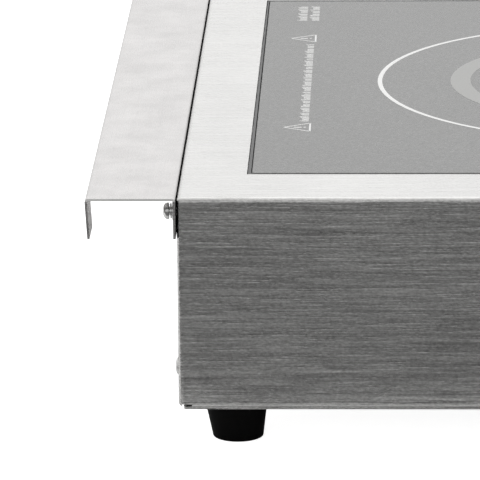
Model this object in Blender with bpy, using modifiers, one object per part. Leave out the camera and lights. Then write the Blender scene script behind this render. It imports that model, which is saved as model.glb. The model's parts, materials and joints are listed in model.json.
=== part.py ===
"""Table-top commercial induction hob, as an assembly of separate parts.

Frame: X is the width (left side at -X), Y is the depth (controls at -Y, rear
channel at +Y), Z is up.  The origin is on the table, under the middle of the
object's box.  All sizes are in metres.
"""
import math

import bmesh
import bpy
from mathutils import Matrix, Vector

# ---------------------------------------------------------------- driving dimensions
WIDTH = 0.327            # outer width of the housing
DEPTH = 0.425            # control front to the back of the rear channel
HEIGHT = 0.086           # table to the top sheet
FOOT_CLEARANCE = 0.0150  # table to the underside of the folded housing
SHEET = 0.0008           # stainless sheet
BEND = 0.0016            # outer radius of the housing's folds
BEND_STEPS = 4           # facets in one fold
GAP = 0.0003             # clearance between pieces that touch

CHANNEL_DEPTH = 0.02945  # rear channel, front to back
CHANNEL_HEIGHT = 0.0135
CHANNEL_DROP = 0.0003    # the channel's top lies this far below the top sheet
CHANNEL_STANDOFF = 0.00033
CHANNEL_BEND = 0.0011
CHANNEL_LEAN = 0.0008    # the outer leg is folded in by this much at its tip
CHANNEL_LIP = 0.0048     # height of the outer leg between its two end tabs
CHANNEL_TAB = 0.0160     # length of an end tab

GLASS_SIZE = 0.262       # square glass plate
GLASS_THICKNESS = 0.004
SEAL_WIDTH = 0.0016      # joint between the glass and the cut-out
GLASS_REAR_MARGIN = 0.0220

FOLD_LINE_Y = -0.122     # where the top sheet ends and the control slope begins
SLOPE_FOOT_Z = 0.044     # height of the slope's lower edge
SEAM = 0.0005            # joint between the top sheet and the control panel

FOOT_INSET = 0.0187      # foot axis from the side and from the rear
FOOT_TOP_RADIUS = 0.0105
FOOT_BOTTOM_RADIUS = 0.0084

COIL_INNER, COIL_OUTER = 0.024, 0.088
COIL_WIRE = 0.0044       # diameter of the litz bundle
COIL_TURNS = 12

FAN_SIZE, FAN_THICKNESS = 0.080, 0.025
FAN_X, FAN_Y = 0.060, -0.125

KNOB_RADIUS, KNOB_HEIGHT = 0.018, 0.0150

# ---------------------------------------------------------------- derived places
HALF = WIDTH / 2
FRONT_Y = -DEPTH / 2
CHANNEL_REAR_Y = DEPTH / 2
REAR_Y = CHANNEL_REAR_Y - CHANNEL_DEPTH - CHANNEL_STANDOFF
CHANNEL_FRONT_Y = REAR_Y + CHANNEL_STANDOFF
BODY_Z = FOOT_CLEARANCE
TOP_UNDER_Z = HEIGHT - SHEET
CUTOUT = GLASS_SIZE + 2 * SEAL_WIDTH
GLASS_Y = REAR_Y - GLASS_REAR_MARGIN - CUTOUT / 2
GLASS_Z = HEIGHT - GLASS_THICKNESS
BASE_THICKNESS = 0.0006
BASE_TOP_Z = BODY_Z - GAP
BASE_UNDER_Z = BASE_TOP_Z - BASE_THICKNESS
FOOT_HEIGHT = BASE_UNDER_Z - GAP
FEET = {
    "rear_left": (-HALF + FOOT_INSET, REAR_Y - FOOT_INSET),
    "rear_right": (HALF - FOOT_INSET, REAR_Y - FOOT_INSET),
    "front_left": (-HALF + FOOT_INSET, FRONT_Y + FOOT_INSET),
    "front_right": (HALF - FOOT_INSET, FRONT_Y + FOOT_INSET),
}
SIDES = {"left": -1, "right": 1}

SLOPE = math.atan2(HEIGHT - SLOPE_FOOT_Z, FOLD_LINE_Y - FRONT_Y)
SLOPE_CENTRE = Vector((0, (FOLD_LINE_Y + FRONT_Y) / 2, (HEIGHT + SLOPE_FOOT_Z) / 2))

SCREW_HOLE, SCREW_SHANK = 0.0017, 0.0014
CHANNEL_SCREW_X, CHANNEL_SCREW_Z = HALF - 0.0086, HEIGHT - 0.0065
REAR_SCREW_X, REAR_SCREW_Z = HALF - 0.0080, HEIGHT - 0.0589
REAR_FLANGE, REAR_LIP, BOTTOM_FLANGE = 0.014, 0.012, 0.012
REAR_PANEL_Y = REAR_Y - SHEET - GAP          # outer face of the rear panel
GLAND_X, GLAND_Z = 0.115, 0.045
GLAND_THREAD = 0.0100

MICA_Z = GLASS_Z - 2 * GAP - 0.0002
COIL_Z = 0.0785
CARRIER_TOP_Z = COIL_Z - COIL_WIRE / 2 - GAP
CARRIER_THICKNESS = 0.0025
FERRITE_TOP_Z = CARRIER_TOP_Z - CARRIER_THICKNESS - GAP
POST_RADIUS, POST_CIRCLE = 0.0040, 0.095

BOARD_THICKNESS = 0.0016
BOARD_Z = 0.0220                              # underside of the power board
BOARD_TOP_Z = BOARD_Z + BOARD_THICKNESS
BOARD_BOSSES = ((-0.069, -0.069), (0.069, -0.069), (-0.069, 0.074), (0.069, 0.074))
PART_Z = BOARD_TOP_Z + GAP                    # components stand here

# Places on the control slope: across, and up the slope from its middle.
BUTTONS = {"power_button": -0.125, "mode_button": -0.096, "timer_button": -0.067}
BUTTON_UP = -0.004
BUTTON_RADIUS = 0.0060
SWITCH_HALF, SWITCH_HEIGHT = 0.0060, 0.0042
WINDOW_X, WINDOW_UP, WINDOW_SIZE = 0.005, 0.0, (0.070, 0.026)
KNOB_X, KNOB_UP = 0.100, -0.008
CONTROL_BOARD_TOP = -0.0144                   # below the panel's outer face

# ---------------------------------------------------------------- scene and materials
for old in list(bpy.data.objects):
    bpy.data.objects.remove(old)

hob = bpy.data.collections.new("induction_hob")
cutters = bpy.data.collections.new("cutters")
for collection in (hob, cutters):
    bpy.context.scene.collection.children.link(collection)

FINISHES = {                     # colour, roughness, metallic
    "steel_sheet": ((0.62, 0.62, 0.61), 0.32, 1.0),
    "bright_steel": ((0.75, 0.75, 0.74), 0.18, 1.0),
    "glass_ceramic": ((0.38, 0.38, 0.37), 0.12, 0.0),
    "silicone": ((0.16, 0.16, 0.16), 0.60, 0.0),
    "rubber": ((0.015, 0.015, 0.015), 0.75, 0.0),
    "copper_litz": ((0.72, 0.36, 0.18), 0.45, 0.6),
    "ferrite": ((0.07, 0.07, 0.08), 0.70, 0.0),
    "mica": ((0.62, 0.55, 0.42), 0.55, 0.0),
    "carrier_plastic": ((0.85, 0.84, 0.80), 0.50, 0.0),
    "circuit_board": ((0.05, 0.22, 0.12), 0.45, 0.0),
    "aluminium": ((0.78, 0.78, 0.79), 0.38, 1.0),
    "black_plastic": ((0.03, 0.03, 0.03), 0.45, 0.0),
    "capacitor_plastic": ((0.75, 0.55, 0.12), 0.40, 0.0),
    "overlay_film": ((0.10, 0.10, 0.11), 0.40, 0.0),
    "smoked_window": ((0.02, 0.01, 0.01), 0.10, 0.0),
    "grey_plastic": ((0.55, 0.56, 0.57), 0.45, 0.0),
    "wire_insulation": ((0.35, 0.03, 0.02), 0.50, 0.0),
}


def make_material(name):
    colour, roughness, metallic = FINISHES[name]
    material = bpy.data.materials.new(name)
    material.use_nodes = True
    shader = material.node_tree.nodes["Principled BSDF"]
    shader.inputs["Base Color"].default_value = (*colour, 1)
    shader.inputs["Roughness"].default_value = roughness
    shader.inputs["Metallic"].default_value = metallic
    return material


MATERIALS = {name: make_material(name) for name in FINISHES}

# ---------------------------------------------------------------- frames
ALONG_X = Matrix(((0, 0, 1, 0), (1, 0, 0, 0), (0, 1, 0, 0), (0, 0, 0, 1)))  # drawn in YZ
FACING_REAR = Matrix.Rotation(-math.pi / 2, 4, "X")                         # local +Z is +Y
ON_SLOPE = Matrix.Translation(SLOPE_CENTRE) @ Matrix.Rotation(SLOPE, 4, "X")


def at(x, y, z):
    return Matrix.Translation((x, y, z))


# ---------------------------------------------------------------- modelling helpers
def add_object(name, mesh, finish=None, place=None):
    """Put a mesh in the scene; a piece with no finish is a cutter."""
    piece = bpy.data.objects.new(name, mesh)
    piece.matrix_world = place or Matrix.Identity(4)
    if finish:
        if not mesh.materials:
            mesh.materials.append(MATERIALS[finish])
        hob.objects.link(piece)
    else:
        piece.hide_render = True
        piece.display_type = "WIRE"
        cutters.objects.link(piece)
    return piece


def evaluated_mesh(piece):
    bpy.context.view_layer.update()
    depsgraph = bpy.context.evaluated_depsgraph_get()
    return bpy.data.meshes.new_from_object(piece.evaluated_get(depsgraph))


def boolean(piece, other, operation="DIFFERENCE"):
    modifier = piece.modifiers.new(other.name, "BOOLEAN")
    modifier.operation = operation
    modifier.solver = "EXACT"
    modifier.object = other


def bevel(piece, width, segments=2, angle=40):
    modifier = piece.modifiers.new("rounding", "BEVEL")
    modifier.width = width
    modifier.segments = segments
    modifier.limit_method = "ANGLE"
    modifier.angle_limit = math.radians(angle)


def box_mesh(name, low, high):
    low, high = Vector(low), Vector(high)
    bm = bmesh.new()
    bmesh.ops.create_cube(bm, size=1)
    bmesh.ops.scale(bm, vec=high - low, verts=bm.verts)
    bmesh.ops.translate(bm, vec=(high + low) / 2, verts=bm.verts)
    mesh = bpy.data.meshes.new(name)
    bm.to_mesh(mesh)
    bm.free()
    return mesh


def box(name, low, high, finish=None, place=None, rounding=0):
    piece = add_object(name, box_mesh(name, low, high), finish, place)
    if rounding:
        bevel(piece, rounding)
    return piece


def cylinder(name, radius, bottom, top, finish=None, place=None, sides=20):
    """A cylinder along local Z."""
    bm = bmesh.new()
    bmesh.ops.create_cone(bm, cap_ends=True, segments=sides, radius1=radius,
                          radius2=radius, depth=top - bottom)
    bmesh.ops.translate(bm, vec=(0, 0, (top + bottom) / 2), verts=bm.verts)
    mesh = bpy.data.meshes.new(name)
    bm.to_mesh(mesh)
    bm.free()
    return add_object(name, mesh, finish, place)


def turned(name, profile, finish=None, place=None, steps=20, bored=False):
    """Revolve (radius, height) points about local Z, listed down the outer side."""
    mesh = bpy.data.meshes.new(name)
    edges = [(i, i + 1) for i in range(len(profile) - 1)]
    if bored:
        edges.append((len(profile) - 1, 0))
    mesh.from_pydata([(r, 0, z) for r, z in profile], edges, [])
    piece = add_object(name, mesh, finish, place)
    screw = piece.modifiers.new("turning", "SCREW")
    screw.steps = screw.render_steps = steps
    screw.use_merge_vertices = True
    screw.merge_threshold = 0.00001
    screw.use_smooth_shade = False
    return piece


def outline_mesh(name, loops, thickness, bottom=0.0):
    """A flat outline in local XY; loops inside the first one are holes."""
    curve = bpy.data.curves.new(name, "CURVE")
    curve.dimensions = "2D"
    curve.fill_mode = "BOTH"
    curve.extrude = thickness / 2
    for loop in loops:
        spline = curve.splines.new("POLY")
        spline.points.add(len(loop) - 1)
        for point, (x, y) in zip(spline.points, loop):
            point.co = (x, y, 0, 1)
        spline.use_cyclic_u = True
    drawing = bpy.data.objects.new(name, curve)
    cutters.objects.link(drawing)
    mesh = evaluated_mesh(drawing)
    bpy.data.objects.remove(drawing)
    bm = bmesh.new()
    bm.from_mesh(mesh)
    bmesh.ops.remove_doubles(bm, verts=bm.verts, dist=0.000001)
    bmesh.ops.translate(bm, vec=(0, 0, bottom + thickness / 2), verts=bm.verts)
    bmesh.ops.recalc_face_normals(bm, faces=bm.faces)
    bm.to_mesh(mesh)
    bm.free()
    mesh.materials.clear()
    return mesh


def flat(name, loops, bottom, top, finish=None, place=None):
    return add_object(name, outline_mesh(name, loops, top - bottom, bottom), finish, place)


def tube(name, points, radius, finish, resolution=2):
    """A round wire or lead with closed ends."""
    curve = bpy.data.curves.new(name, "CURVE")
    curve.dimensions = "3D"
    curve.bevel_depth = radius
    curve.bevel_resolution = resolution
    curve.use_fill_caps = True
    spline = curve.splines.new("POLY")
    spline.points.add(len(points) - 1)
    for point, co in zip(spline.points, points):
        point.co = (*co, 1)
    return add_object(name, curve, finish)


# ---------------------------------------------------------------- flat shapes
def circle(x, y, radius, sides=20, start=0.0):
    turn = 2 * math.pi / sides
    return [(x + radius * math.cos(start + i * turn), y + radius * math.sin(start + i * turn))
            for i in range(sides)]


def rounded_rectangle(x, y, width, height, radius, steps=4):
    loop = []
    for quarter, (sx, sy) in enumerate(((1, 1), (-1, 1), (-1, -1), (1, -1))):
        cx, cy = x + sx * (width / 2 - radius), y + sy * (height / 2 - radius)
        for i in range(steps + 1):
            angle = (quarter + i / steps) * math.pi / 2
            loop.append((cx + radius * math.cos(angle), cy + radius * math.sin(angle)))
    return loop


def slot(x, y, length, width, upright=False, steps=3):
    """A slot with round ends, lying along local X or standing along local Y."""
    loop = []
    for end in (0, 1):
        for i in range(steps + 1):
            angle = (end + i / steps) * math.pi - math.pi / 2
            reach = (length - width) / 2 * (1 if end == 0 else -1)
            along, across = reach + width / 2 * math.cos(angle), width / 2 * math.sin(angle)
            loop.append((x - across, y + along) if upright else (x + along, y + across))
    return loop


def square(x, y, size):
    half = size / 2
    return [(x - half, y - half), (x + half, y - half), (x + half, y + half), (x - half, y + half)]


def filleted(points, radii):
    """An open path with its inner corners rounded."""
    path = [Vector(points[0])]
    for before, corner, after, radius in zip(points, points[1:], points[2:], radii):
        corner = Vector(corner)
        back = (Vector(before) - corner).normalized()
        ahead = (Vector(after) - corner).normalized()
        half_angle = back.angle(ahead) / 2
        start = corner + back * (radius / math.tan(half_angle))
        end = corner + ahead * (radius / math.tan(half_angle))
        centre = corner + (back + ahead).normalized() * (radius / math.sin(half_angle))
        sweep = (start - centre).angle_signed(end - centre)
        for i in range(BEND_STEPS + 1):
            turn = Matrix.Rotation(-sweep * i / BEND_STEPS, 2)
            path.append(centre + turn @ (start - centre))
    path.append(Vector(points[-1]))
    return path


def folded_sheet(points, radii, thickness):
    """The closed section of a sheet whose outer face follows the points.

    The sheet's body lies to the right of the path's direction."""
    points = [Vector(p) for p in points]
    inner = []
    for i, point in enumerate(points):
        normals = []
        for a, b in zip(points[max(i - 1, 0):i + 1], points[max(i, 1):i + 2]):
            if a != b:
                step = (b - a).normalized()
                normals.append(Vector((step.y, -step.x)))
        mean = sum(normals, Vector((0, 0))).normalized()
        inner.append(point + mean * (thickness / mean.dot(normals[0])))
    inner_radii = [max(radius - thickness, 0.0002) for radius in radii]
    return filleted(points, radii) + filleted(inner, inner_radii)[::-1]


# ---------------------------------------------------------------- housing
def side_outline(inset):
    """The housing's side view in (y, z), drawn in by an inset."""
    top_shift = inset * math.tan(SLOPE / 2)
    front_shift = inset * math.tan((math.pi / 2 - SLOPE) / 2)
    return [(REAR_Y - inset, BODY_Z + inset), (REAR_Y - inset, HEIGHT - inset),
            (FOLD_LINE_Y + top_shift, HEIGHT - inset),
            (FRONT_Y + inset, SLOPE_FOOT_Z - front_shift), (FRONT_Y + inset, BODY_Z + inset)]


def housing_block(name, inset, finish=None):
    """The housing as a solid block with its folded edges rounded."""
    half = HALF - inset
    mesh = outline_mesh(name, [side_outline(inset)], 2 * half, -half)
    bm = bmesh.new()
    bm.from_mesh(mesh)
    bmesh.ops.transform(bm, matrix=ALONG_X, verts=bm.verts)
    bmesh.ops.dissolve_limit(bm, angle_limit=0.01, verts=bm.verts, edges=bm.edges)
    near = 0.00001

    def is_folded(edge):
        a, b = (v.co for v in edge.verts)
        on_side = abs(abs(a.x) - half) < near and abs(a.x - b.x) < near
        ahead_of_fold = min(a.y, b.y) < FOLD_LINE_Y + inset
        at_top = min(a.z, b.z) > HEIGHT - inset - near
        at_bottom = max(a.z, b.z) < BODY_Z + inset + near
        at_rear = min(a.y, b.y) > REAR_Y - inset - near
        if on_side:
            return at_top or at_bottom or (at_rear and not ahead_of_fold)
        return at_rear and (at_top or at_bottom)

    bmesh.ops.bevel(bm, geom=[e for e in bm.edges if is_folded(e)], offset=BEND - inset,
                    segments=BEND_STEPS, profile=0.5, affect="EDGES")
    bmesh.ops.remove_doubles(bm, verts=bm.verts, dist=0.000001)
    bm.to_mesh(mesh)
    bm.free()
    return add_object(name, mesh, finish)


def screw_holes(name, x, z, from_y, to_y):
    """Cutters for the two screw holes at the same height on both sides."""
    for side, sign in SIDES.items():
        yield cylinder(f"{name}_{side}_hole", SCREW_HOLE, 0, to_y - from_y,
                       place=at(sign * x, from_y, z) @ FACING_REAR, sides=16)


REACH = 0.010   # how far a cutter runs past the faces it cuts


def make_top_cover():
    cover = housing_block("top_cover", 0, "steel_sheet")
    boolean(cover, housing_block("cover_hollow", SHEET))
    lip_start = FOLD_LINE_Y + 0.0065
    boolean(cover, box("cover_front_cut", (-HALF + SHEET, FRONT_Y - REACH, 0),
                       (HALF - SHEET, lip_start, HEIGHT + REACH)))
    boolean(cover, box("cover_rear_cut", (-HALF + REAR_FLANGE, REAR_Y - 0.004, 0),
                       (HALF - REAR_FLANGE, REAR_Y + REACH, HEIGHT - REAR_LIP)))
    boolean(cover, box("cover_bottom_cut", (-HALF + BOTTOM_FLANGE, FRONT_Y - REACH, 0),
                       (HALF - BOTTOM_FLANGE, REAR_Y - 0.0030, BODY_Z + 0.004)))
    boolean(cover, box("cover_glass_cut", (-CUTOUT / 2, GLASS_Y - CUTOUT / 2, HEIGHT - REACH),
                       (CUTOUT / 2, GLASS_Y + CUTOUT / 2, HEIGHT + REACH)))
    for side, sign in SIDES.items():
        inner, outer = sorted((sign * (HALF - REAR_FLANGE - 0.001), sign * (HALF + REACH)))
        boolean(cover, box(f"cover_relief_{side}", (inner, REAR_Y - 0.0044, 0),
                           (outer, REAR_Y - SHEET - 0.0002, BODY_Z + 0.0011)))
    for hole in screw_holes("cover_channel", CHANNEL_SCREW_X, CHANNEL_SCREW_Z,
                            REAR_Y - 0.005, REAR_Y + 0.005):
        boolean(cover, hole)
    for hole in screw_holes("cover_rear", REAR_SCREW_X, REAR_SCREW_Z,
                            REAR_Y - 0.005, REAR_Y + 0.005):
        boolean(cover, hole)
    lip = folded_sheet([(FOLD_LINE_Y, HEIGHT - 0.0095), (FOLD_LINE_Y, HEIGHT),
                        (lip_start + 0.0005, HEIGHT)], [BEND], SHEET)
    lip_half = HALF - BEND - 0.0002
    boolean(cover, flat("cover_lip", [lip], -lip_half, lip_half, place=ALONG_X), "UNION")


def make_front_panel():
    top_y = FOLD_LINE_Y - SEAM
    top_z = HEIGHT - SEAM * math.tan(SLOPE)
    section = folded_sheet([(FRONT_Y + 0.012, BODY_Z), (FRONT_Y, BODY_Z),
                            (FRONT_Y, SLOPE_FOOT_Z), (top_y, top_z), (top_y, HEIGHT - 0.0095)],
                           [BEND, 0.0030, 0.0012], SHEET)
    half = HALF - SHEET - GAP
    panel = flat("front_panel", [section], -half, half, "steel_sheet", ALONG_X)
    for name, x in BUTTONS.items():
        boolean(panel, cylinder(f"{name}_panel_hole", BUTTON_RADIUS + 0.0004, -0.005, 0.005,
                                place=ON_SLOPE @ at(x, BUTTON_UP, 0), sides=24))
    boolean(panel, cylinder("encoder_panel_hole", 0.0048, -0.005, 0.005,
                            place=ON_SLOPE @ at(KNOB_X, KNOB_UP, 0), sides=24))
    width, height = (size - 0.004 for size in WINDOW_SIZE)
    boolean(panel, box("window_panel_hole", (-width / 2, -height / 2, -0.005),
                       (width / 2, height / 2, 0.005),
                       place=ON_SLOPE @ at(WINDOW_X, WINDOW_UP, 0)))


def make_rear_panel():
    """A flat plate with air slots, drawn in X and Z and stood upright."""
    loops = [rounded_rectangle(0, (TOP_UNDER_Z + BODY_Z) / 2, WIDTH - 0.011,
                               TOP_UNDER_Z - BODY_Z - 0.0016, 0.002)]
    loops.append(circle(GLAND_X, GLAND_Z, GLAND_THREAD + GAP, 24))
    for sign in SIDES.values():
        loops.append(circle(sign * CHANNEL_SCREW_X, CHANNEL_SCREW_Z, SCREW_HOLE, 12))
        loops.append(circle(sign * REAR_SCREW_X, REAR_SCREW_Z, SCREW_HOLE, 12))
    slots, pitch = 13, 0.0155
    for row_z in (0.033, 0.057):
        for i in range(slots):
            loops.append(slot(-0.129 + pitch * i, row_z, 0.018, 0.0045, upright=True))
    upright = Matrix.Rotation(math.pi / 2, 4, "X")        # local +Z is -Y
    flat("rear_panel", loops, 0, SHEET, "steel_sheet", at(0, REAR_PANEL_Y, 0) @ upright)


def make_base_plate():
    side, front, rear = HALF - 0.0015, FRONT_Y + 0.0015, REAR_Y - 0.00162
    loops = [rounded_rectangle(0, (front + rear) / 2, 2 * side, rear - front, 0.0005, 1)]
    for x, y in FEET.values():
        loops.append(circle(x, y, 0.0024, 12))
    for sign in SIDES.values():
        for i in range(6):
            length = (0.044, 0.058, 0.066)[min(i, 5 - i)]
            loops.append(slot(sign * FAN_X, FAN_Y - 0.030 + 0.012 * i, length, 0.005))
    for i in range(4):
        loops.append(slot(0, 0.092 + 0.014 * i, 0.150, 0.005))
    plate = flat("base_plate", loops, BASE_UNDER_Z, BASE_TOP_Z, "steel_sheet")
    for i, (x, y) in enumerate(BOARD_BOSSES):
        boss = cylinder(f"board_boss_{i + 1}", 0.0035, BASE_TOP_Z - BASE_THICKNESS / 2,
                        BOARD_Z - GAP, place=at(x, y, 0), sides=12)
        boolean(plate, boss, "UNION")


def make_rear_channel():
    """Its outer leg keeps a tab at each end and is cut back to a lip between them."""
    top, tip = HEIGHT - CHANNEL_DROP, HEIGHT - CHANNEL_DROP - CHANNEL_HEIGHT
    corner = CHANNEL_REAR_Y + 0.00007      # before the fold's rounding takes it back
    section = folded_sheet([(CHANNEL_FRONT_Y, tip), (CHANNEL_FRONT_Y, top),
                            (corner, top), (corner - CHANNEL_LEAN, tip)],
                           [CHANNEL_BEND, CHANNEL_BEND], SHEET)
    channel = flat("rear_channel", [section], -HALF, HALF, "steel_sheet", ALONG_X)
    boolean(channel, box("channel_air_cut",
                         (-HALF + CHANNEL_TAB, CHANNEL_REAR_Y - 0.005, tip - REACH),
                         (HALF - CHANNEL_TAB, CHANNEL_REAR_Y + REACH, top - CHANNEL_LIP)))
    for hole in screw_holes("channel", CHANNEL_SCREW_X, CHANNEL_SCREW_Z,
                            CHANNEL_FRONT_Y - 0.002, CHANNEL_FRONT_Y + 0.004):
        boolean(channel, hole)


def make_rear_screws():
    """Pan heads on washers hold the channel; low heads below them hold the rear panel."""
    washer = CHANNEL_STANDOFF + SHEET + 0.0002
    head = washer + 0.00140
    pan = [(0, head + 0.00215), (0.0014, head + 0.0020), (0.0023, head + 0.0014),
           (0.00275, head + 0.0006), (0.00275, head), (0.0020, head - 0.0001),
           (0.0023, head - 0.0004), (0.0031, washer + 0.0003), (0.0031, washer),
           (SCREW_SHANK, washer), (SCREW_SHANK, -0.0060), (0, -0.0065)]
    low = [(0, 0.00115), (0.0014, 0.00105), (0.0023, 0.0007), (0.00285, 0.00035),
           (0.00285, 0.0002), (SCREW_SHANK, 0.0002), (SCREW_SHANK, -0.0060), (0, -0.0065)]
    for side, sign in SIDES.items():
        turned(f"channel_screw_{side}", pan, "bright_steel",
               at(sign * CHANNEL_SCREW_X, REAR_Y, CHANNEL_SCREW_Z) @ FACING_REAR, 14)
        turned(f"rear_screw_{side}", low, "bright_steel",
               at(sign * REAR_SCREW_X, REAR_Y, REAR_SCREW_Z) @ FACING_REAR, 14)


def make_feet():
    top, bottom = FOOT_TOP_RADIUS, FOOT_BOTTOM_RADIUS
    recess = 0.0050
    foot = [(top, FOOT_HEIGHT), (bottom + 0.00015, 0.0014), (bottom - 0.0004, 0.0004),
            (bottom - 0.0014, 0.0), (recess, 0.0), (recess, 0.0080), (0.0024, 0.0080),
            (0.0024, FOOT_HEIGHT)]
    screw = [(0, BODY_Z + 0.0045), (0.0020, BODY_Z + 0.0040), (0.0020, 0.0077),
             (0.0039, 0.0077), (0.0039, 0.0064), (0.0026, 0.0055), (0, 0.0053)]
    for corner, (x, y) in FEET.items():
        turned(f"foot_{corner}", foot, "rubber", at(x, y, 0), 24, bored=True)
        turned(f"foot_screw_{corner}", screw, "bright_steel", at(x, y, 0), 14)


# ---------------------------------------------------------------- glass
def make_glass():
    glass = flat("glass_plate", [rounded_rectangle(0, GLASS_Y, GLASS_SIZE, GLASS_SIZE, 0.0015, 3)],
                 GLASS_Z, HEIGHT, "glass_ceramic")
    bevel(glass, 0.0003, 1, 60)
    seal_outer, seal_inner = CUTOUT - 2 * GAP, GLASS_SIZE + 2 * GAP
    flat("glass_seal", [rounded_rectangle(0, GLASS_Y, seal_outer, seal_outer, 0.0008, 2),
                        rounded_rectangle(0, GLASS_Y, seal_inner, seal_inner, 0.0017, 3)],
         GLASS_Z, HEIGHT - 0.0002, "silicone")
    ledge_top = GLASS_Z - GAP
    ledge_outer, ledge_inner, rim = CUTOUT + 0.018, GLASS_SIZE - 0.016, 0.001
    frame = flat("glass_frame", [square(0, GLASS_Y, ledge_outer), square(0, GLASS_Y, ledge_inner)],
                 ledge_top - SHEET, ledge_top, "steel_sheet")
    wall = flat("glass_frame_rim", [square(0, GLASS_Y, ledge_outer),
                                    square(0, GLASS_Y, ledge_outer - 2 * rim)],
                ledge_top - SHEET, TOP_UNDER_Z - GAP)
    boolean(frame, wall, "UNION")


# ---------------------------------------------------------------- induction unit
def polar(radius, degrees):
    """A point about the middle of the glass."""
    angle = math.radians(degrees)
    return radius * math.cos(angle), GLASS_Y + radius * math.sin(angle)


def down_turn(x, y, heading, radius, low_z, steps=4):
    """Points that turn a level wire down and end at low_z."""
    points = []
    for i in range(1, steps + 1):
        angle = math.pi / 2 * i / steps
        ahead, drop = radius * math.sin(angle), radius * (1 - math.cos(angle))
        points.append((x + ahead * heading[0], y + ahead * heading[1], COIL_Z - drop))
    end = points[-1]
    return points + [(end[0], end[1], low_z)]


def make_coil():
    """A flat spiral whose two ends turn down to the power board."""
    inner_end, outer_end, per_turn = 44, 150, 20
    total = (COIL_TURNS * 360 + outer_end - inner_end)
    count = round(total / 360 * per_turn)
    spiral = []
    for i in range(count + 1):
        part = i / count
        radius = COIL_INNER + (COIL_OUTER - COIL_INNER) * part
        spiral.append((*polar(radius, inner_end + total * part), COIL_Z))
    lead_z = PART_Z + 0.001
    inward = [-math.cos(math.radians(outer_end)), -math.sin(math.radians(outer_end))]
    bend = 0.0060
    backward = (Vector(spiral[0][:2]) - Vector(spiral[1][:2])).normalized()
    first = down_turn(*spiral[0][:2], backward, bend, lead_z)
    onward = (Vector(spiral[-1][:2]) - Vector(spiral[-2][:2])).normalized()
    turning_in = (onward + Vector(inward) * 0.6).normalized()
    last = down_turn(*spiral[-1][:2], turning_in, bend, lead_z)
    tube("induction_coil", first[::-1] + spiral + last, COIL_WIRE / 2, "copper_litz", 0)


def make_coil_support():
    bottom = CARRIER_TOP_Z - CARRIER_THICKNESS
    ring_outer, ring_inner, hub = 0.099, 0.0915, 0.0200
    carrier = flat("coil_carrier", [circle(0, GLASS_Y, ring_outer, 36),
                                    circle(0, GLASS_Y, ring_inner, 36)],
                   bottom, CARRIER_TOP_Z, "carrier_plastic")
    boolean(carrier, cylinder("carrier_hub", hub, bottom, CARRIER_TOP_Z,
                              place=at(0, GLASS_Y, 0), sides=24), "UNION")
    for i in range(3):
        arm = box(f"carrier_arm_{i + 1}", (-ring_inner - 0.003, -0.006, bottom),
                  (ring_inner + 0.003, 0.006, CARRIER_TOP_Z),
                  place=at(0, GLASS_Y, 0) @ Matrix.Rotation(math.radians(60 * i), 4, "Z"))
        boolean(carrier, arm, "UNION")
    for i in range(6):
        place = at(0, GLASS_Y, 0) @ Matrix.Rotation(math.radians(60 * i), 4, "Z")
        box(f"ferrite_bar_{i + 1}", (0.030, -0.006, FERRITE_TOP_Z - 0.004),
            (0.084, 0.006, FERRITE_TOP_Z), "ferrite", place)
    for i in range(3):
        x, y = polar(POST_CIRCLE, 90 + 120 * i)
        shoulder = bottom - GAP
        turned(f"coil_post_{i + 1}", [(0, shoulder), (POST_RADIUS, shoulder),
                                      (POST_RADIUS, 0.060), (0.0030, 0.059), (0.0030, 0.024),
                                      (POST_RADIUS, 0.023), (POST_RADIUS, BASE_TOP_Z + GAP),
                                      (0, BASE_TOP_Z + GAP)], "aluminium", at(x, y, 0), 14)
    flat("mica_sheet", [circle(0, GLASS_Y, 0.096, 36), circle(0, GLASS_Y, 0.011, 16)],
         MICA_Z - 0.0004, MICA_Z, "mica")
    turned("temperature_sensor", [(0, GLASS_Z - GAP), (0.0070, GLASS_Z - GAP),
                                  (0.0090, GLASS_Z - 0.0012), (0.0090, CARRIER_TOP_Z + GAP),
                                  (0, CARRIER_TOP_Z + GAP)], "aluminium", at(0, GLASS_Y, 0), 20)


# ---------------------------------------------------------------- power electronics
def make_heat_sink():
    width, fins, fin, foot_height, height = 0.090, 12, 0.0018, 0.0050, 0.030
    pitch = (width - fin) / (fins - 1)
    section = [(-width / 2, 0), (width / 2, 0)]
    for i in range(fins):
        right = width / 2 - i * pitch
        section += [(right, height), (right - fin, height)]
        if i < fins - 1:
            section += [(right - fin, foot_height), (right - pitch, foot_height)]
    front, rear = -0.070, -0.025
    upright = Matrix.Rotation(math.pi / 2, 4, "X")
    flat("heat_sink", [section], front, rear, "aluminium",
         at(0, 0, PART_Z) @ upright @ Matrix.Rotation(math.pi, 4, "Y"))


def make_package(name, x, width, height, legs):
    """A flat semiconductor on the heat sink's end, standing on its legs."""
    leg, rise = 0.0012, 0.0070
    section = [(width / 2, rise), (width / 2, rise + height), (-width / 2, rise + height),
               (-width / 2, rise)]
    spread = width - 0.006
    for i in range(legs):
        left = -spread / 2 + spread * i / (legs - 1) - leg / 2
        section += [(left, rise), (left, 0), (left + leg, 0), (left + leg, rise)]
    upright = Matrix.Rotation(math.pi / 2, 4, "X")
    flat(name, [section], 0, 0.0045, "black_plastic", at(x, -0.0200, PART_Z) @ upright)


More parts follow.
